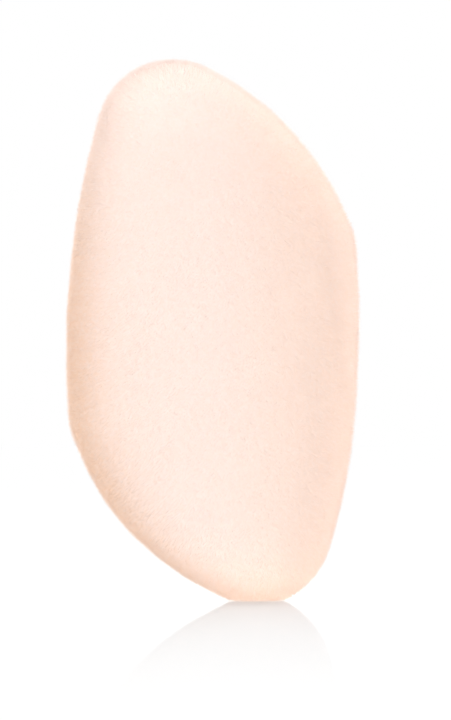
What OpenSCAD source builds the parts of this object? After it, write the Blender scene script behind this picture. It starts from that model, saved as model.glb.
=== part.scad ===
// Makeup sponge with a flocked velvet skin, standing on its lower tip
//
// Seen from the front the outline is a slanted lozenge with four equal round corners. The corner
// circles are joined by two long sides and two short slanted sides, all of them gently bowed. The
// outline looks the same after half a turn. The two faces are flat, and between them the edge is
// rounded over all the way round. +X runs to the right, +Z up along the length, and the front face
// looks towards -Y. The origin is below the middle of the sponge, on the surface that the lower tip
// rests on.
//
// From the inside out the sponge is a foam core, a thin coat of flocking adhesive and a pile of
// short fibres. Each side is coated and flocked in its own pass, and the two passes meet in the
// middle of the edge.

/* [Outline] */
// Length from tip to tip, before the lower tip is cut flat
body_l = 75.5; // [68:0.5:84]
// Width across the two shoulders
body_w = 40; // [35:0.5:46]
// Radius of the four round corners
corner_r = 10.7; // [9.6:0.1:12]
// How far each tip stands to the side of the middle
tip_offset = 5.6; // [3:0.1:8]
// How far the upper shoulder stands above the middle, and the lower one below it
shoulder_h = 10.8; // [8:0.1:14]
// Radius of the bow in the two long sides
long_bow_r = 120; // [90:1:200]
// Radius of the bow in the two slanted sides
slant_bow_r = 41.2; // [37:0.1:60]

/* [Thickness] */
// Thickness between the two faces
body_t = 20; // [16:0.1:23]
// How far in from the outline the rounded edge reaches
edge_in = 9; // [6:0.1:9.5]

/* [Layers] */
// Depth of the flocked pile
flock_t = 0.75; // [0.6:0.05:1.2]
// Thickness of the adhesive coat under the pile
bond_t = 0.15; // [0.1:0.01:0.3]
// Depth of the flat cut in the pile at the lower tip
rest_cut = 0.5; // [0.2:0.05:0.55]

/* [Fineness] */
// Steps along each long side
long_steps = 6; // [4:1:8]
// Steps round each shoulder
shoulder_steps = 2; // [1:1:3]
// Steps along each slanted side
slant_steps = 6; // [4:1:8]
// Steps round each tip
tip_steps = 9; // [6:1:12]
// Steps from the middle of the edge to the face
edge_steps = 8; // [4:1:8]

/* [Hidden] */
// Middle of the sponge above the surface it rests on
middle_z = body_l / 2 - rest_cut;

// How deep each surface between two layers lies under the tips of the pile
bond_depth = flock_t;
core_depth = flock_t + bond_t;

// Centres of the upper tip's and the upper shoulder's corner circles, from the middle of the
// sponge. The lower ones are the same points after half a turn.
tip = [-tip_offset, body_l / 2 - corner_r];
shoulder = [body_w / 2 - corner_r, shoulder_h];

// The arcs that join them: the right-hand long side and the upper slanted side
long_centre = bow_centre(-tip, shoulder, long_bow_r);
slant_centre = bow_centre(shoulder, tip, slant_bow_r);

// Half of the outline, from the lower tip up to the upper tip and round it. Each arc is its
// centre, its radius, its first and last direction, and its steps.
arcs = [
    [long_centre, long_bow_r, heading(-tip - long_centre), heading(shoulder - long_centre), long_steps],
    [shoulder, corner_r, heading(shoulder - long_centre), heading(shoulder - slant_centre), shoulder_steps],
    [slant_centre, slant_bow_r, heading(shoulder - slant_centre), heading(tip - slant_centre), slant_steps],
    [tip, corner_r, heading(tip - slant_centre), heading(tip + long_centre), tip_steps]
];

// Every outline point as the centre and radius of its arc and its outward direction, so that an
// inset only shortens the radius
spokes = [
    for (turn = [1, -1], arc = arcs, step = [0 : arc[4] - 1])
    let (angle = arc[2] + (arc[3] - arc[2]) * step / arc[4])
    [arc[0] * turn, arc[1], [cos(angle), sin(angle)] * turn]
];
around = len(spokes);

// Direction of a flat vector, in degrees from +X
function heading(v) = atan2(v.y, v.x);

// Centre of the arc that touches two corner circles from inside and bulges to their right on the
// way from the first to the second
function bow_centre(first, second, bow_r) =
    let (
        half = (second - first) / 2,
        reach = bow_r - corner_r,
        outward = [half.y, -half.x] / norm(half)
    )
    (first + second) / 2 - outward * sqrt(reach * reach - half * half);

// One ring of points on the surface that lies depth under the tips of the pile. Levels count from
// the middle of the edge, -edge_steps at the front face and edge_steps at the back, and the rings
// between them follow half an ellipse.
function ring(depth, level) =
    let (
        turn = 90 * level / edge_steps,
        inset = depth + (edge_in - depth) * (1 - cos(turn))
    )
    [
        for (spoke = spokes)
        let (p = spoke[0] + spoke[2] * (spoke[1] - inset))
        [p.x, sin(turn) * (body_t / 2 - depth), p.y + middle_z]
    ];

// The middle of a face
function face_middle(depth, side) = [0, side * (body_t / 2 - depth), middle_z];

// All points of a surface between two levels, ring after ring, with a face's middle at each end
// that is a face
function surface_points(depth, first, last) = [
    if (first == -edge_steps) face_middle(depth, -1),
    for (level = [first : last]) each ring(depth, level),
    if (last == edge_steps) face_middle(depth, 1)
];

// Triangles between a ring and the next one towards the back, by the places of their first points
function band(near, far) = [
    for (i = [0 : around - 1], half = [0, 1])
    let (j = (i + 1) % around)
    half == 0 ? [far + i, near + i, near + j] : [far + i, near + j, far + j]
];

// All triangles of a surface between two levels, facing outwards, where start is the place of its
// first point
function surface_faces(first, last, start) =
    let (
        front = first == -edge_steps ? 1 : 0,
        rings = last - first,
        base = start + front,
        end = base + (rings + 1) * around
    )
    [
        for (i = [0 : around - 1]) if (front == 1) [start, base + (i + 1) % around, base + i],
        for (k = [0 : rings - 1]) each band(base + k * around, base + (k + 1) * around),
        for (i = [0 : around - 1])
            if (last == edge_steps) [end, end - around + i, end - around + (i + 1) % around]
    ];

// The same triangles facing the other way
function flipped(faces) = [for (f = faces) [f[2], f[1], f[0]]];

// A layer on one side of the sponge, between two depths, with a flat rim in the middle of the edge
module layer(outer_depth, inner_depth, side) {
    first = side < 0 ? -edge_steps : 0;
    last = side < 0 ? 0 : edge_steps;
    outer = surface_points(outer_depth, first, last);
    inner = surface_points(inner_depth, first, last);
    rim = side < 0 ? len(outer) - around : 0;
    edge = band(rim + len(outer), rim);
    polyhedron(
        points = concat(outer, inner),
        faces = concat(
            surface_faces(first, last, 0),
            flipped(surface_faces(first, last, len(outer))),
            side < 0 ? flipped(edge) : edge
        )
    );
}

// Everything below the surface that the sponge rests on
module below_rest() {
    translate([-body_w, -body_w, -body_l])
        cube([2 * body_w, 2 * body_w, body_l]);
}

// Fine-celled foam that gives the sponge its shape
module foam_core() {
    color("#F6DCCB")
        polyhedron(
            points = surface_points(core_depth, -edge_steps, edge_steps),
            faces = surface_faces(-edge_steps, edge_steps, 0)
        );
}

// Adhesive coat that holds the front pile
module front_bond_coat() {
    color("#F3E3D3")
        layer(bond_depth, core_depth, -1);
}

// Adhesive coat that holds the back pile
module back_bond_coat() {
    color("#F3E3D3")
        layer(bond_depth, core_depth, 1);
}

// Velvet pile on the front, pressed flat where the lower tip rests
module front_flock() {
    color("#FDE7DB")
        difference() {
            layer(0, bond_depth, -1);
            below_rest();
        }
}

// Velvet pile on the back, pressed flat where the lower tip rests
module back_flock() {
    color("#FBE2D4")
        difference() {
            layer(0, bond_depth, 1);
            below_rest();
        }
}

foam_core();
front_bond_coat();
back_bond_coat();
front_flock();
back_flock();
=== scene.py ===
# %% [markdown]
# # A flocked makeup sponge
#
# This lesson dresses a makeup sponge. On the real one a block of fine foam is cut to a slanted
# lozenge, its edges are rounded over, a thin coat of adhesive goes on, and short nylon fibres are
# shot into that coat until the whole sponge looks like velvet. The solids that are loaded here give
# the size and the place of each layer, and they never move. Everything that follows is built on
# them: the foam with its cells, the coat, the felted foot of the pile and the fibres themselves.

# %% Load the solids
import math

import bmesh
import bpy
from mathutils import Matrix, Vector


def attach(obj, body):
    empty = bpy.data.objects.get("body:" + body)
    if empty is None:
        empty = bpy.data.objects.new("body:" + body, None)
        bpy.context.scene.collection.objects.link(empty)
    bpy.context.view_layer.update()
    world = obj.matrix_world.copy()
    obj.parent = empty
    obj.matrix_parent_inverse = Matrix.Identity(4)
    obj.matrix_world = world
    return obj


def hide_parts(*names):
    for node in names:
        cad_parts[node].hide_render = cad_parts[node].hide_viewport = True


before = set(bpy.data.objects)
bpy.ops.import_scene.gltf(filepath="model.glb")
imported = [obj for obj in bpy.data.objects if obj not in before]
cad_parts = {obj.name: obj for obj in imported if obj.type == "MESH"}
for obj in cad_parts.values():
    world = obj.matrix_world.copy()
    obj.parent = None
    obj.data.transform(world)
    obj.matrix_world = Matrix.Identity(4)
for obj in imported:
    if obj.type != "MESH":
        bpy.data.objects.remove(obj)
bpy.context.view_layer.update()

MM = 0.001
FACES = {"front": -1, "back": 1}
print("nodes:", sorted(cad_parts))

# %% [markdown]
# ## The camera
#
# A photographer shoots a small product like this from well back with a long lens, so that its sides
# stay parallel. One pixel of the picture is 0.138 mm wide where the sponge stands, which sets how
# much the lens takes in. The camera looks at the front face, from a little above.

# %% Camera
PIXEL = 0.138 * MM
PICTURE_ROWS = 720
PICTURE_H = PICTURE_ROWS * PIXEL
AIM = Vector((1.7 * MM, 0, 33.3 * MM))
CAMERA_AWAY = 1.2
CAMERA_ABOVE = math.radians(2.5)
SENSOR_H = 24

camera_data = bpy.data.cameras.new("camera")
camera_data.sensor_fit = "VERTICAL"
camera_data.sensor_height = SENSOR_H
camera_data.lens = SENSOR_H * CAMERA_AWAY / PICTURE_H
camera = bpy.data.objects.new("camera", camera_data)
bpy.context.scene.collection.objects.link(camera)
camera.location = AIM + CAMERA_AWAY * Vector((0, -math.cos(CAMERA_ABOVE), math.sin(CAMERA_ABOVE)))
camera.rotation_euler = (math.pi / 2 - CAMERA_ABOVE, 0, 0)
bpy.context.scene.camera = camera
bpy.context.scene.view_settings.view_transform = "Standard"
print(f"lens {camera_data.lens:.0f} mm")

# %% [markdown]
# ## Small helpers
#
# An edit-mode operator works on whatever is selected, so each step first selects one piece and
# nothing else, and then picks faces or points of it by where they are. A finished modifier is
# applied at once, so that the next step sees a plain mesh.

# %% Helpers for pieces
def only(*pieces):
    """Selects these pieces and nothing else."""
    bpy.ops.object.select_all(action="DESELECT")
    for piece in pieces:
        piece.select_set(True)
    bpy.context.view_layer.objects.active = pieces[0]


def copy_of(piece, name):
    """A piece with a mesh of its own that starts as a copy of another's."""
    copy = bpy.data.objects.new(name, piece.data.copy())
    bpy.context.scene.collection.objects.link(copy)
    return copy


def edit(piece, wanted=lambda vertex: True):
    """Opens a piece for editing with only the points selected that are wanted."""
    only(piece)
    bpy.ops.object.mode_set(mode="EDIT")
    bpy.ops.mesh.select_mode(type="VERT")
    bpy.ops.mesh.select_all(action="DESELECT")
    mesh = bmesh.from_edit_mesh(piece.data)
    for vertex in mesh.verts:
        vertex.select = wanted(vertex)
    mesh.select_flush(True)
    bmesh.update_edit_mesh(piece.data)


def done():
    """Closes edit mode."""
    bpy.ops.object.mode_set(mode="OBJECT")


def apply(piece, kind, **settings):
    """Adds a modifier with these settings and applies it."""
    only(piece)
    modifier = piece.modifiers.new(kind.lower(), kind)
    for name, value in settings.items():
        setattr(modifier, name, value)
    bpy.ops.object.modifier_apply(modifier=modifier.name)


def size_of(piece):
    """A piece's lowest and highest corners, which Blender lists as its first and seventh."""
    corners = [Vector(corner) for corner in piece.bound_box]
    return corners[0], corners[6]


def report(piece):
    """Prints how large a piece is and how many faces it has."""
    low, high = size_of(piece)
    sides = [round(side / MM, 2) for side in high - low]
    print(piece.name, sides, "mm,", len(piece.data.polygons), "faces")

# %% [markdown]
# ## The tips of the pile
#
# The two flock solids are shells that meet in the middle of the edge. They are joined, their shared
# points are merged and the rims between them are deleted. What is left falls apart into loose walls,
# and the widest of them is one closed surface, which runs through the tips of the fibres. It is made
# of flat facets, so it is remeshed in half-millimetre squares and smoothed until no facet shows.
# Smoothing draws a round form in a little, so the surface is then stretched back to the size that it
# had, and flattened again where the sponge stands. This form is the master for every layer under it.

# %% The outer form
FLAT = 1e-6
FORM_SQUARE = 0.5 * MM

form = copy_of(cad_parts["front_flock"], "form")
back_half = copy_of(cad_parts["back_flock"], "back_half")
only(form, back_half)
bpy.ops.object.join()
edit(form)
bpy.ops.mesh.remove_doubles(threshold=FLAT)
done()
edit(form, lambda vertex: abs(vertex.co.y) < FLAT)
bpy.ops.mesh.select_mode(type="FACE")
bpy.ops.mesh.delete(type="ONLY_FACE")
bpy.ops.mesh.select_all(action="SELECT")
bpy.ops.mesh.separate(type="LOOSE")
done()
walls = sorted(bpy.context.selected_objects, key=lambda piece: piece.dimensions.x)
form = walls.pop()
form.name = "form"
for wall in walls:
    bpy.data.objects.remove(wall)
report(form)

# %% Smooth it and bring back its size
HALFWAY = 0.5
FACET_SMOOTHING = 12


def smooth(piece, times):
    """Moves each point halfway to the middle of its neighbours, a number of times."""
    apply(piece, "SMOOTH", factor=HALFWAY, iterations=times)


def press_flat(piece, reach):
    """Flattens all points within this reach of the surface that the sponge stands on."""
    edit(piece, lambda vertex: vertex.co.z < reach)
    bpy.ops.transform.resize(value=(1, 1, 0), center_override=(0, 0, 0))
    done()


faceted_low, faceted_high = size_of(form)
apply(form, "REMESH", mode="VOXEL", voxel_size=FORM_SQUARE, use_smooth_shade=True)
smooth(form, FACET_SMOOTHING)
smooth_low, smooth_high = size_of(form)
edit(form)
middle = (faceted_low + faceted_high) / 2
stretch = [a / b for a, b in zip(faceted_high - faceted_low, smooth_high - smooth_low)]
bpy.ops.transform.resize(value=stretch, center_override=middle)
done()
press_flat(form, FORM_SQUARE / 4)
report(form)
print("stretched by", [round(share, 4) for share in stretch])

# %% [markdown]
# ## The swell of the faces
#
# The solids have flat faces, but soft foam never stays quite flat: each face of the real sponge
# swells to a low ridge that runs from tip to tip. As seen from the front, it lies a little to the
# left of the middle, and it makes one half of the front lighter than the other. The form is first
# made thinner by most of what it will swell. Then the points along the ridge of each face are pulled
# out, and proportional editing lets the rest of the face follow, less and less towards the edge. The
# sponge ends up about 22 mm thick along its ridge, a bit more than its solids, and thinner than they
# are along its flanks. Sculpting would do as well, but a pull on named points can be repeated and
# measured.

# %% Swell the faces
SWELL = 4.2 * MM
THINNED = 3.1 * MM
SWELL_REACH = 20 * MM
RIDGE_X = -3 * MM
RIDGE_HALF_W = 0.6 * MM
RIDGE_HALF_L = 24 * MM
TIP_OFFSET = 5.6 * MM
SWELL_SMOOTHING = 8

low, high = size_of(form)
middle = (low + high) / 2
ridge_slope = -TIP_OFFSET / middle.z
edit(form)
bpy.ops.transform.resize(value=(1, 1 - THINNED / high.y, 1), center_override=(0, 0, 0))
done()
for side in FACES.values():
    face_y = side * (high.y - THINNED)
    edit(form, lambda vertex: abs(vertex.co.y - face_y) < FORM_SQUARE / 2
         and abs(vertex.co.x - RIDGE_X - ridge_slope * (vertex.co.z - middle.z)) < RIDGE_HALF_W
         and abs(vertex.co.z - middle.z) < RIDGE_HALF_L)
    bpy.ops.transform.translate(
        value=(0, side * SWELL, 0), use_proportional_edit=True, use_proportional_connected=True,
        proportional_edit_falloff="INVERSE_SQUARE", proportional_size=SWELL_REACH)
    done()
smooth(form, SWELL_SMOOTHING)
report(form)

# %% [markdown]
# ## The lower half
#
# The outline of the solids is the same after half a turn, as the cutter makes it. A soft sponge that
# stands on its tip sinks into itself a little, so its lower half is a few tenths of a millimetre
# fuller than its upper half, and just above its tip it is squashed a little wider. Four spots of the
# edge are pulled out and down, one on each side of the sponge and one on each side of its tip, and
# proportional editing takes their surroundings along.

# %% Fuller lower sides
FULLER_SPOT = 2.5 * MM
# In millimetres, each spot, how far it is pulled, and how far around it the foam follows
FULLER_SIDES = [
    ((-17.6, 0, 18.5), (-0.25, 0, -0.15), 24),
    ((17.8, 0, 15), (0.4, 0, -0.1), 20),
    ((-9.5, 0, 7.2), (-0.12, 0, -0.12), 14),
    ((10.5, 0, 1.8), (0.2, 0, -0.15), 9),
]


def in_metres(x, y, z):
    """A place or a way that was given in millimetres."""
    return Vector((x * MM, y * MM, z * MM))


for spot, pull, reach in FULLER_SIDES:
    centre = in_metres(*spot)
    edit(form, lambda vertex: (vertex.co - centre).length < FULLER_SPOT)
    bpy.ops.transform.translate(
        value=in_metres(*pull), use_proportional_edit=True,
        proportional_edit_falloff="SMOOTH", proportional_size=reach * MM)
    done()
report(form)

# %% [markdown]
# ## Uneven foam
#
# A block of real foam is never quite even, and the light shows it. The surface could be dented by
# hand here and there. A displacement by soft clouds, each about a centimetre wide, does it everywhere
# at once, and takes away the last of the machine-made look. Where the sponge stands it is then
# flattened again.

# %% Uneven foam
UNEVEN_DEPTH = 0.25 * MM
UNEVEN_WIDTH = 11 * MM

clouds = bpy.data.textures.new("uneven_foam", "CLOUDS")
clouds.noise_scale = UNEVEN_WIDTH
clouds.noise_depth = 1
apply(form, "DISPLACE", texture=clouds, texture_coords="LOCAL", strength=UNEVEN_DEPTH, mid_level=0.5)
press_flat(form, FORM_SQUARE / 2)
report(form)

# %% [markdown]
# ## The foam
#
# The foam inside is the same form drawn in by the depth of the pile and its adhesive. It could be
# left smooth, because nothing of it shows, but it is the piece that a maker would look at first on a
# cut sponge, so its skin gets the shallow dimples of cut cells.

# %% Foam body
FOAM_DEPTH = 0.92 * MM
CELL_WIDTH = 1.6 * MM
CELL_DEPTH = 0.12 * MM


def drawn_in(name, depth):
    """A copy of the form whose whole surface has moved inwards by a depth."""
    piece = copy_of(form, name)
    edit(piece)
    bpy.ops.transform.shrink_fatten(value=-depth)
    done()
    return piece


foam = drawn_in("foam_body", FOAM_DEPTH)
cells = bpy.data.textures.new("cut_cells", "VORONOI")
cells.noise_scale = CELL_WIDTH
apply(foam, "DISPLACE", texture=cells, texture_coords="LOCAL", strength=-CELL_DEPTH, mid_level=1)
report(foam)

# %% [markdown]
# ## The adhesive coats
#
# Each side is sprayed with adhesive in its own pass. A coat is the form drawn in to the roots of the
# pile, cut in half at the middle of the edge, and given a wall of about an eighth of a millimetre by
# Solidify, which also closes the rim. The rim is kept sharp. Were it shaded smooth with the wall, a
# line would show where the two halves of such a shell meet.

# %% Adhesive coats
COAT_DEPTH = 0.76 * MM
COAT_WALL = 0.12 * MM
SHARP = math.radians(50)


def keep_half(piece, side):
    """Cuts a piece in the middle of the edge and keeps the half on one side."""
    edit(piece)
    bpy.ops.mesh.bisect(plane_co=(0, 0, 0), plane_no=(0, side, 0), clear_inner=True)
    done()


def give_wall(piece, wall):
    """Thickens an open sheet inwards into a closed shell."""
    apply(piece, "SOLIDIFY", thickness=wall, offset=-1)
    bpy.ops.object.shade_smooth_by_angle(angle=SHARP)


coats = {}
for name, side in FACES.items():
    coats[name] = drawn_in(f"{name}_adhesive", COAT_DEPTH)
    keep_half(coats[name], side)
    give_wall(coats[name], COAT_WALL)
    report(coats[name])

# %% [markdown]
# ## The foot of the pile
#
# Near their roots the fibres stand so close that they look like felt. To model them one by one down
# there would cost millions of faces that nobody sees. So this felted foot is a shell that lies a good
# half millimetre under the tips, and only the free ends of the fibres stand on it. At the lower tip
# the pile is pressed flat by what the sponge stands on, so there the foot bulges down until it almost
# touches.

# %% Felted foot
FOOT_DEPTH = 0.58 * MM
FOOT_WALL = 0.16 * MM
PRESSED_GAP = 0.15 * MM
PRESSED_REACH = 5 * MM

felted = drawn_in("felted", FOOT_DEPTH)
lowest = size_of(felted)[0].z
edit(felted, lambda vertex: vertex.co.z < lowest + FLAT)
bpy.ops.transform.translate(
    value=(0, 0, PRESSED_GAP - lowest), use_proportional_edit=True, use_proportional_connected=True,
    proportional_edit_falloff="SMOOTH", proportional_size=PRESSED_REACH)
done()
feet = {}
for name, side in FACES.items():
    feet[name] = copy_of(felted, f"{name}_pile_foot")
    keep_half(feet[name], side)
    give_wall(feet[name], FOOT_WALL)
    report(feet[name])

# %% [markdown]
# ## Wiring nodes in Python
#
# Long node trees are easier to read as sums. This small class stands for one output of a node, and
# a sum or a product of two of them adds the Math node that works it out. Every other node comes from
# its method for nodes, which takes the kind of node, its settings and what goes into its sockets.

# %% Wires
class Wire:
    """One output of a node, in the tree that it belongs to."""

    def __init__(self, tree, output=None):
        self.tree, self.output = tree, output

    def node(self, kind, settings, values, output=0):
        """Adds a node. Settings come first, then the value or the wire of each socket."""
        node = self.tree.nodes.new(kind)
        for name, value in settings.items():
            setattr(node, name, value)
        for name, value in values.items():
            if isinstance(value, Wire):
                self.tree.links.new(value.output, node.inputs[name])
            else:
                node.inputs[name].default_value = value
        return Wire(self.tree, node.outputs[output] if node.outputs else None)

    def also(self, name):
        """Another output of the same node."""
        return Wire(self.tree, self.output.node.outputs[name])

    def math(self, operation, *values):
        return self.node("ShaderNodeMath", {"operation": operation}, dict(enumerate(values)))

    def vector(self, operation, *values):
        return self.node("ShaderNodeVectorMath", {"operation": operation}, dict(enumerate(values)))

    def scaled(self, factor):
        values = {"Vector": self, "Scale": factor}
        return self.node("ShaderNodeVectorMath", {"operation": "SCALE"}, values)

    def __add__(self, other):
        return self.math("ADD", self, other)

    def __radd__(self, other):
        return self.math("ADD", other, self)

    def __sub__(self, other):
        return self.math("SUBTRACT", self, other)

    def __rsub__(self, other):
        return self.math("SUBTRACT", other, self)

    def __mul__(self, other):
        return self.math("MULTIPLY", self, other)

    def __rmul__(self, other):
        return self.math("MULTIPLY", other, self)

    def __lt__(self, other):
        return self.math("LESS_THAN", self, other)

    def __gt__(self, other):
        return self.math("GREATER_THAN", self, other)

# %% [markdown]
# ## One fibre
#
# Flock is cut nylon, about three quarters of a millimetre long and thinner than a hair. Several
# hundred thousand fibres stand on a sponge. They could be hair curves, but an exported model needs
# meshes, so one fibre has to be as plain as it can be: a spike with three sides and a closed foot. It
# stands on the origin and has a middling length, and the planting stretches or shortens each copy.

# %% Spike
FIBRE_R = 0.02 * MM
FIBRE_L = 0.7 * MM
FIBRE_SIDES = 3

bpy.ops.object.select_all(action="DESELECT")
bpy.ops.mesh.primitive_cone_add(
    vertices=FIBRE_SIDES, radius1=FIBRE_R, radius2=0, depth=FIBRE_L, location=(0, 0, FIBRE_L / 2))
spike = bpy.context.object
spike.name = "spike"
bpy.ops.object.transform_apply(location=True, rotation=True, scale=True)
report(spike)

# %% [markdown]
# ## Where the colour is deeper, and where shade is painted
#
# Nylon flock is dyed right through, and its fibres have nearly the same colour, a pale peach. Three
# patterns vary it a little. Tufts of neighbouring fibres are lighter or deeper than the next ones.
# Round the edge of the sponge the colour is painted deeper, as painted shade, and the tufts are
# painted to stand out more, as grazing light shows them, most of all low down and on the left. And
# painted shade deepens the colour from the middle of the sponge to its right flank. All three are
# worked out from the place on the sponge alone. The same nodes exist for planting and for
# materials, so the fibres and the felted foot between them share one pattern, the painted shade with it.

# %% Deeper and lighter tufts
TUFT_WIDTH = 0.45 * MM
TUFT_SHARE = 0.3
# The painted edge shade fades from the middle of the edge to the faces, from low to high and from
# left to right, where the least of it stays. It deepens the colour and makes the tufts stand out.
SHADE_EDGE, SHADE_FACE = 3 * MM, 11.4 * MM
SHADE_LOW, SHADE_HIGH = 30 * MM, 84 * MM
SHADE_LEFT, SHADE_RIGHT = -16 * MM, 16 * MM
SHADE_LEAST = 0.12
SHADE_DEEP = 0.15
SHADE_TUFTS = 0.7
# Where the painted shade on the right flank starts, where it is deepest, and by how much
FLANK_SHADE_FROM, FLANK_SHADE_BY = -2 * MM, 14 * MM
FLANK_SHADE_DEEP = 0.13
NOISE_DETAIL = 2


def grain(tools, place, width):
    """Soft noise from 0 to 1 whose blots are about as wide as given."""
    values = {"Vector": place, "Scale": 1 / width, "Detail": NOISE_DETAIL}
    return tools.node("ShaderNodeTexNoise", {}, values)


def ramp(tools, value, start, end, first=0, last=1):
    """A share that goes smoothly from a first one to a last one between two values."""
    values = {"Value": value, "From Min": start, "From Max": end, "To Min": first, "To Max": last}
    return tools.node("ShaderNodeMapRange", {"interpolation_type": "SMOOTHSTEP"}, values)


def fading(tools, value, start, end, least=0):
    """A share that goes smoothly from 1 at one value to its least at another."""
    return ramp(tools, value, start, end, 1, least)


def tufts_and_painted_shade(tools, place):
    """How deep the colour is at a place, from 0 to about 1: tufts plus painted shade."""
    across = tools.node("ShaderNodeSeparateXYZ", {}, {"Vector": place}, output="X")
    depth, height = across.also("Y"), across.also("Z")
    # Painted shade: the colour deepens round the edge, most of all low down and on the left, and the
    # tufts stand out more there
    painted_edge_shade = fading(tools, tools.math("ABSOLUTE", depth), SHADE_EDGE, SHADE_FACE)
    painted_edge_shade = painted_edge_shade * fading(tools, height, SHADE_LOW, SHADE_HIGH)
    painted_edge_shade = painted_edge_shade * fading(tools, across, SHADE_LEFT, SHADE_RIGHT, SHADE_LEAST)
    tufts = grain(tools, place, TUFT_WIDTH) * (painted_edge_shade * SHADE_TUFTS + TUFT_SHARE)
    # Painted shade: the colour deepens from the middle of the sponge to its right flank
    painted_flank_shade = 1 - fading(tools, across, FLANK_SHADE_FROM, FLANK_SHADE_BY)
    return tufts + painted_edge_shade * SHADE_DEEP + painted_flank_shade * FLANK_SHADE_DEEP

# %% [markdown]
# ## The pile
#
# The fibres are planted by a geometry node tree. Points are spread evenly over the felted form, and
# each gets a fibre that stands along the surface's normal. Slow noise leans neighbours the same way,
# which gives velvet its fine grain, chance ruffles them, and the nap brings all of them down and a
# little to the left, as a hand does that strokes the sponge. Fibres differ in length, and those that
# would reach through the surface that the sponge stands on are pressed up against it.
#
# A fibre is too thin to show a pattern, so each is dyed in one of six close tones. The tree stores
# the number of its tone with each point, by the pattern above, painted shade included, and a little
# chance, and turns it into the number of a material once the fibres are real.
#
# A side is planted in four bands, one above the other, so that no mesh gets too heavy. All bands use
# the same points, and each keeps only those on its side and between its two heights, so no seam
# shows between them.

# %% Plant the pile
FIBRE_GAP = 0.1 * MM
TRIES_PER_M2 = 1.3e8
# Where the bands meet, as shares of the height. The last share lies well above the sponge.
BANDS = (0, 0.24, 0.49, 0.75, 2)
LOWEST_ROOT = 0.1 * MM
ROOT_DEPTH = 0.04 * MM
LEAN_WIDTH = 0.9 * MM
LEAN = 1.28
NOISE_MIDDLE = (0.5, 0.5, 0.5)
SCATTER = 0.3
NAP = (-0.08, 0, -0.22)
SHORTEST, LONGEST = 0.7, 1.2
TONES = 6
POINT_SEED, TONE_SEED, SCATTER_SEED, LENGTH_SEED = 4, 5, 7, 2
# The least X, Y and Z of a fibre, in metres. Only Z ever gets there, where the sponge stands.
LEAST_PLACE = (-1, -1, 0)


def chance(tools, low, high, seed):
    """A number that each point draws between two."""
    values = {"Min": low, "Max": high, "Seed": seed}
    return tools.node("FunctionNodeRandomValue", {"data_type": "FLOAT"}, values, output="Value")


def planting(side, low_z, high_z):
    """A node tree that plants fibres on one side of a form, rooted between two heights."""
    tree = bpy.data.node_groups.new("planting", "GeometryNodeTree")
    tree.interface.new_socket("Geometry", in_out="INPUT", socket_type="NodeSocketGeometry")
    tree.interface.new_socket("Geometry", in_out="OUTPUT", socket_type="NodeSocketGeometry")
    tools = Wire(tree)
    start = tools.node("NodeGroupInput", {}, {})
    position = tools.node("GeometryNodeInputPosition", {}, {})
    points = tools.node("GeometryNodeDistributePointsOnFaces", {"distribute_method": "POISSON"},
                        {"Mesh": start, "Distance Min": FIBRE_GAP, "Density Max": TRIES_PER_M2,
                         "Seed": POINT_SEED})
    normal = points.also("Normal")
    depth = tools.node("ShaderNodeSeparateXYZ", {}, {"Vector": position}, output="Y")
    height = depth.also("Z")
    elsewhere = (depth * side < 0) + (height < low_z) + (height > high_z)
    kept = tools.node("GeometryNodeDeleteGeometry", {"domain": "POINT"},
                      {"Geometry": points, "Selection": elsewhere})

    # The tone follows the tufts and the painted shade, with a little chance
    tone = tufts_and_painted_shade(tools, position) * (TONES - 1) + chance(tools, 0, 1, TONE_SEED)
    tone = tools.math("FLOOR", tone)
    tone = tools.math("MINIMUM", tone, TONES - 1)
    toned = tools.node("GeometryNodeStoreNamedAttribute", {"data_type": "INT", "domain": "POINT"},
                       {"Geometry": kept, "Name": "tone", "Value": tone})

    noise = grain(tools, position, LEAN_WIDTH).also("Color")
    lean = noise.vector("SUBTRACT", noise, NOISE_MIDDLE).scaled(LEAN)
    scatter = tools.node("FunctionNodeRandomValue", {"data_type": "FLOAT_VECTOR"},
                         {"Min": (-SCATTER,) * 3, "Max": (SCATTER,) * 3, "Seed": SCATTER_SEED})
    way = normal.vector("ADD", normal, lean)
    way = way.vector("ADD", way, scatter)
    way = way.vector("ADD", way, NAP)
    turn = tools.node("FunctionNodeAlignRotationToVector", {"axis": "Z"}, {"Vector": way})
    length = chance(tools, SHORTEST, LONGEST, LENGTH_SEED)
    stretch = tools.node("ShaderNodeCombineXYZ", {}, {"X": 1, "Y": 1, "Z": length})
    fibre = tools.node("GeometryNodeObjectInfo", {}, {"Object": spike}, output="Geometry")
    planted = tools.node("GeometryNodeInstanceOnPoints", {},
                         {"Points": toned, "Instance": fibre, "Rotation": turn, "Scale": stretch})
    sinking = normal.scaled(-ROOT_DEPTH)
    sunk = tools.node("GeometryNodeTranslateInstances", {},
                      {"Instances": planted, "Translation": sinking, "Local Space": False})
    real = tools.node("GeometryNodeRealizeInstances", {}, {"Geometry": sunk})
    floored = position.vector("MAXIMUM", position, LEAST_PLACE)
    pressed = tools.node("GeometryNodeSetPosition", {}, {"Geometry": real, "Position": floored})
    stored = tools.node("GeometryNodeInputNamedAttribute", {"data_type": "INT"}, {"Name": "tone"})
    dyed = tools.node("GeometryNodeSetMaterialIndex", {},
                      {"Geometry": pressed, "Material Index": stored})
    tools.node("NodeGroupOutput", {}, {0: dyed})
    return tree


pile = []
top_z = size_of(felted)[1].z
for name, side in FACES.items():
    for number, (from_share, to_share) in enumerate(zip(BANDS, BANDS[1:]), 1):
        band = copy_of(felted, f"{name}_pile_{number}")
        lower = max(LOWEST_ROOT, top_z * from_share)
        apply(band, "NODES", node_group=planting(side, lower, top_z * to_share))
        report(band)
        pile.append(band)
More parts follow.
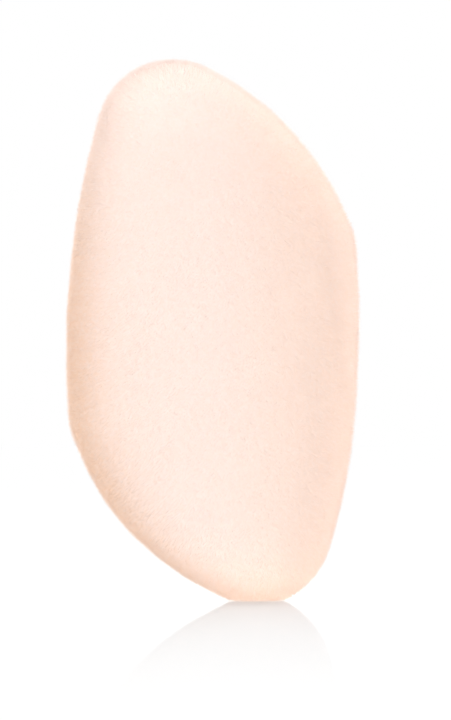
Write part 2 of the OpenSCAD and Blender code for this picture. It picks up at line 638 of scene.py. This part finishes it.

# %% [markdown]
# ## Finishes
#
# The six tones of the fibres are steps from a light peach to a deep one, and carry the painted shade
# as well as the tufts. The planting has already laid out the pattern, so each tone is a plain matte
# finish, with no nodes behind its sockets, and no picture has to be wrapped round thousands of
# fibres. The felted foot between them shows the same tufts and painted shade as a colour that
# changes from place to place, painted a bit deeper than the fibres as the shade they cast on it, and
# shows the tufts as a fine bump.

# %% Helpers for finishes
def finish(name, roughness, specular):
    """A new material, with its shader node and a wire to add nodes from."""
    material = bpy.data.materials.new(name)
    material.use_nodes = True
    shader = material.node_tree.nodes["Principled BSDF"]
    shader.inputs["Roughness"].default_value = roughness
    shader.inputs["Specular IOR Level"].default_value = specular
    return material, shader, Wire(material.node_tree)


def feed(shader, name, wire):
    """Leads a wire into one of a shader's sockets."""
    wire.tree.links.new(wire.output, shader.inputs[name])


def mixed(tools, share, first, second):
    """A colour between two others, by a share from 0 to 1."""
    values = {"Factor": share, "A": first, "B": second}
    return tools.node("ShaderNodeMix", {"data_type": "RGBA"}, values, output="Result")


def place_of(tools):
    """The place on the piece, in metres."""
    return tools.node("ShaderNodeTexCoord", {}, {}, output="Object")


def bump(tools, height, depth, strength):
    """A surface that rises and falls with a height from 0 to 1."""
    return tools.node("ShaderNodeBump", {}, {"Strength": strength, "Distance": depth, "Height": height})


def dress(piece, material):
    """Gives a piece one material and nothing else."""
    piece.data.materials.clear()
    piece.data.materials.append(material)

# %% Flock
# From light to deep: the deeper tones serve both the tufts and the painted shade
LIGHT_PEACH = (0.997, 0.914, 0.892, 1)
DEEP_PEACH = (0.975, 0.74, 0.56, 1)
# The foot's colours are painted a bit deeper than the fibres', as the shade that the fibres cast on it
FOOT_LIGHT = (0.995, 0.885, 0.85, 1)
FOOT_DEEP = (0.955, 0.7, 0.51, 1)
FIBRE_ROUGHNESS, FIBRE_SPECULAR = 0.75, 0.2
FOOT_ROUGHNESS, FOOT_SPECULAR = 0.9, 0.1
FOOT_BUMP, FOOT_BUMP_DEPTH = 0.6, 0.05 * MM

flock_fibres = []
for tone in range(TONES):
    material, shader, tools = finish(f"flock_fibre_{tone + 1}", FIBRE_ROUGHNESS, FIBRE_SPECULAR)
    share = tone / (TONES - 1)
    steps = zip(LIGHT_PEACH, DEEP_PEACH)
    shader.inputs["Base Color"].default_value = [light + (deep - light) * share for light, deep in steps]
    flock_fibres.append(material)

flock_foot, shader, tools = finish("flock_foot", FOOT_ROUGHNESS, FOOT_SPECULAR)
place = place_of(tools)
# The foot's colour follows the tufts and the painted shade
feed(shader, "Base Color", mixed(tools, tufts_and_painted_shade(tools, place), FOOT_LIGHT, FOOT_DEEP))
feed(shader, "Normal", bump(tools, grain(tools, place, TUFT_WIDTH), FOOT_BUMP_DEPTH, FOOT_BUMP))
print(len(flock_fibres), "tones of fibre")

# %% [markdown]
# ## Adhesive and foam
#
# Neither shows on a whole sponge, but both would on a cut or worn one. Dried adhesive is a little
# glossier than the rest, and where it lies thicker it is paler and duller: soft noise gives both.
# The cut cells of the foam are a Voronoi pattern, with painted shade deepening the colour in the
# middle of each cell, and its bump makes each cell a small hollow.

# %% Adhesive and foam
STREAK_WIDTH = 1.5 * MM
ADHESIVE_THIN = (0.86, 0.72, 0.60, 1)
ADHESIVE_THICK = (0.93, 0.82, 0.71, 1)
ADHESIVE_ROUGHNESS, ADHESIVE_DULLER, ADHESIVE_SPECULAR = 0.35, 0.2, 0.3
FOAM_CELL = 0.35 * MM
# Painted shade at the bottom of each cell's hollow
FOAM_HOLLOW_SHADE = (0.90, 0.70, 0.58, 1)
FOAM_WALL = (0.97, 0.83, 0.73, 1)
FOAM_ROUGHNESS, FOAM_SPECULAR = 0.9, 0.2
FOAM_BUMP, FOAM_BUMP_DEPTH = 0.8, 0.1 * MM

adhesive, shader, tools = finish("adhesive", ADHESIVE_ROUGHNESS, ADHESIVE_SPECULAR)
streaks = grain(tools, place_of(tools), STREAK_WIDTH)
feed(shader, "Base Color", mixed(tools, streaks, ADHESIVE_THIN, ADHESIVE_THICK))
feed(shader, "Roughness", streaks * ADHESIVE_DULLER + ADHESIVE_ROUGHNESS)

foam_finish, shader, tools = finish("foam", FOAM_ROUGHNESS, FOAM_SPECULAR)
cell = tools.node("ShaderNodeTexVoronoi", {"feature": "F1"},
                  {"Vector": place_of(tools), "Scale": 1 / FOAM_CELL})
feed(shader, "Base Color", mixed(tools, cell, FOAM_HOLLOW_SHADE, FOAM_WALL))
feed(shader, "Normal", bump(tools, cell, FOAM_BUMP_DEPTH, FOAM_BUMP))
print("finishes:", adhesive.name, foam_finish.name)

# %% Dress the pieces
dress(foam, foam_finish)
for name in FACES:
    dress(coats[name], adhesive)
    dress(feet[name], flock_foot)
for band in pile:
    band.data.materials[0] = flock_fibres[0]
    for material in flock_fibres[1:]:
        band.data.materials.append(material)
    print(band.name, len(band.data.materials), "materials")

# %% [markdown]
# ## The floor and the room
#
# The sponge stands on a white glossy sheet in a white room. More light would make both white, but it
# would wash out the sponge too. Light Path tells the rays apart instead: those that come from the
# camera, or from a mirror or glass, see white, and those that light the sponge don't. For them the
# room is dark grey, and the sheet glows faintly in a warm white, as lit paper does. It glows more in
# a spot round the tip, two to three centimetres wide, which lights the sponge from below.
#
# Near the sponge a part of the sheet's white is lit paper, so that it keeps the sponge's shadow, and
# further off it is plain white. Close to the tip the sheet also mirrors the sponge faintly, and the
# mirror image dies away within a few centimetres.

# %% Helpers for floor and room
WHITE = (1, 1, 1, 1)


def emptied(owner):
    """Clears the nodes of a material or a world, and gives a wire to add new ones from."""
    owner.use_nodes = True
    owner.node_tree.nodes.clear()
    return Wire(owner.node_tree)


def seeing(tools):
    """1 on rays from the camera, and 1 on these and those from mirrors and glass."""
    camera_ray = tools.node("ShaderNodeLightPath", {}, {}, output="Is Camera Ray")
    mirror_ray = camera_ray.also("Is Glossy Ray")
    glass_ray = camera_ray.also("Is Transmission Ray")
    return camera_ray, tools.math("MINIMUM", camera_ray + mirror_ray + glass_ray, 1)


def glowing(tools, colour, strength):
    """A surface that shines by itself. At a strength of 1 it is seen in its own colour."""
    return tools.node("ShaderNodeEmission", {}, {"Color": colour, "Strength": strength})


def blended(tools, share, first, second):
    """A surface between two others, by a share from 0 to 1."""
    return tools.node("ShaderNodeMixShader", {}, {0: share, 1: first, 2: second})

# %% Floor
FLOOR_HALF = 1.5
PAPER_GREY = (0.8, 0.8, 0.8, 1)
# What the paper adds to its own white, and what light it gives to the sponge
PAPER_LIFT = 0.19
PAPER_GLOW = 0.19
GLOW_COLOUR = (1, 0.95, 0.88, 1)
# The spot round the tip: how much more it glows, how far it reaches, and how much of it is left
# right under the tip
TIP_GLOW = 0.18
TIP_GLOW_REACH = 9.5 * MM
TIP_CORE = 0.8
# The mirror image: its share at the tip, its blur, how far off it has faded to a third, and its tint
SHEEN_SHARE = 0.42
SHEEN_BLUR = 0.03
SHEEN_REACH = 57 * MM
SHEEN_COLOUR = (0.55, 0.55, 0.55, 1)
# How much of the sheet is plain white near the sponge, and from where to where the rest turns white
WHITE_NEAR = 0.7
WHITE_FROM = 0.1
WHITE_BY = 0.4

bpy.ops.object.select_all(action="DESELECT")
bpy.ops.mesh.primitive_plane_add(size=2 * FLOOR_HALF, location=(0, 0, 0))
floor = bpy.context.object
floor.name = "floor"
sheet = bpy.data.materials.new("white_sheet")
tools = emptied(sheet)
camera_ray, seen = seeing(tools)
place = place_of(tools)
away = place.vector("DISTANCE", place, (TIP_OFFSET, 0, 0)).also("Value")

paper = tools.node("ShaderNodeBsdfDiffuse", {}, {"Color": PAPER_GREY})
square = away * away * (1 / TIP_GLOW_REACH ** 2)
spot = (square + TIP_CORE) * tools.math("POWER", math.e, 1 - square)
lift = glowing(tools, WHITE, seen * PAPER_LIFT)
glow = glowing(tools, GLOW_COLOUR, (1 - seen) * (spot * TIP_GLOW + PAPER_GLOW))
both = tools.node("ShaderNodeAddShader", {}, {0: lift, 1: glow})
near = tools.node("ShaderNodeAddShader", {}, {0: paper, 1: both})

whiteness = ramp(tools, away, WHITE_FROM, WHITE_BY, WHITE_NEAR, 1)
white = blended(tools, whiteness * seen, near, glowing(tools, WHITE, 1))
mirror = tools.node("ShaderNodeBsdfGlossy", {}, {"Color": SHEEN_COLOUR, "Roughness": SHEEN_BLUR})
sheen = tools.math("POWER", math.e, away * (-1 / SHEEN_REACH)) * SHEEN_SHARE
surface = blended(tools, sheen * camera_ray, white, mirror)
tools.node("ShaderNodeOutputMaterial", {}, {"Surface": surface})
dress(floor, sheet)
print("floor", 2 * FLOOR_HALF, "m wide")

# %% Room
ROOM_LEVEL = 0.1

room = bpy.data.worlds.new("room")
bpy.context.scene.world = room
tools = emptied(room)
camera_ray, seen = seeing(tools)
level = seen + (1 - seen) * ROOM_LEVEL
backdrop = tools.node("ShaderNodeBackground", {}, {"Color": WHITE, "Strength": level})
tools.node("ShaderNodeOutputWorld", {}, {"Surface": backdrop})
print("the room lights the sponge at a level of", ROOM_LEVEL)

# %% [markdown]
# ## The lamps
#
# Four square softboxes, all of one size and equally far away, light the sponge. One stands in front,
# a little to the left and a little above, and fills the shadows between the fibres. The strongest
# hangs above the sponge and to the left, and shades the front from its light half to its deeper one.
# A third, on the right and a little behind, draws the pale rim on that side. The fourth is weak and
# stands straight behind. The camera doesn't see it, but it sees its mirror image in the sheet, which
# keeps the sheet white round the mirror image of the sponge.

# %% Softboxes
BOX_SIDE = 0.5
BOX_AWAY = 0.9


def softbox(name, azimuth, elevation, level):
    """A lamp that looks at the sponge, where azimuth 0 is the camera's side and 90 the right."""
    lamp = bpy.data.lights.new(name, "AREA")
    lamp.shape = "SQUARE"
    lamp.size = BOX_SIDE
    lamp.energy = level * (math.pi * BOX_AWAY) ** 2
    box = bpy.data.objects.new(name, lamp)
    bpy.context.scene.collection.objects.link(box)
    turn, rise = math.radians(azimuth), math.radians(elevation)
    way = Vector((math.sin(turn) * math.cos(rise), -math.cos(turn) * math.cos(rise), math.sin(rise)))
    box.location = Vector((0, 0, top_z / 2)) + BOX_AWAY * way
    box.rotation_euler = way.to_track_quat("Z", "Y").to_euler()
    print(name, round(lamp.energy, 2), "W")
    return box


softbox("front", azimuth=-8, elevation=10, level=0.54)
softbox("top", azimuth=-50, elevation=78, level=0.78)
softbox("rim", azimuth=114, elevation=18, level=0.7)
backlight = softbox("back", azimuth=180, elevation=14, level=0.2)
backlight.visible_camera = False

# %% [markdown]
# ## Hiding the solids behind what stands for them
#
# The solids stay in the model for weight and collision, and each is hidden behind the pieces that
# stand for it. Everything rides on the one body, because nothing on a sponge moves by itself. Foam
# and pile are soft, and stuffed full.

# %% Hand over to the frame
pieces = [foam, *coats.values(), *feet.values(), *pile]
for piece in pieces:
    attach(piece, "root")
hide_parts("foam_core")
for name in FACES:
    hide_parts(f"{name}_bond_coat")
    for piece in [feet[name], *(band for band in pile if band.name.startswith(name))]:
        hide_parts(f"{name}_flock")
for helper in [form, felted, spike]:
    bpy.data.objects.remove(helper)
print(len(pieces), "pieces ride on the sponge's one body")
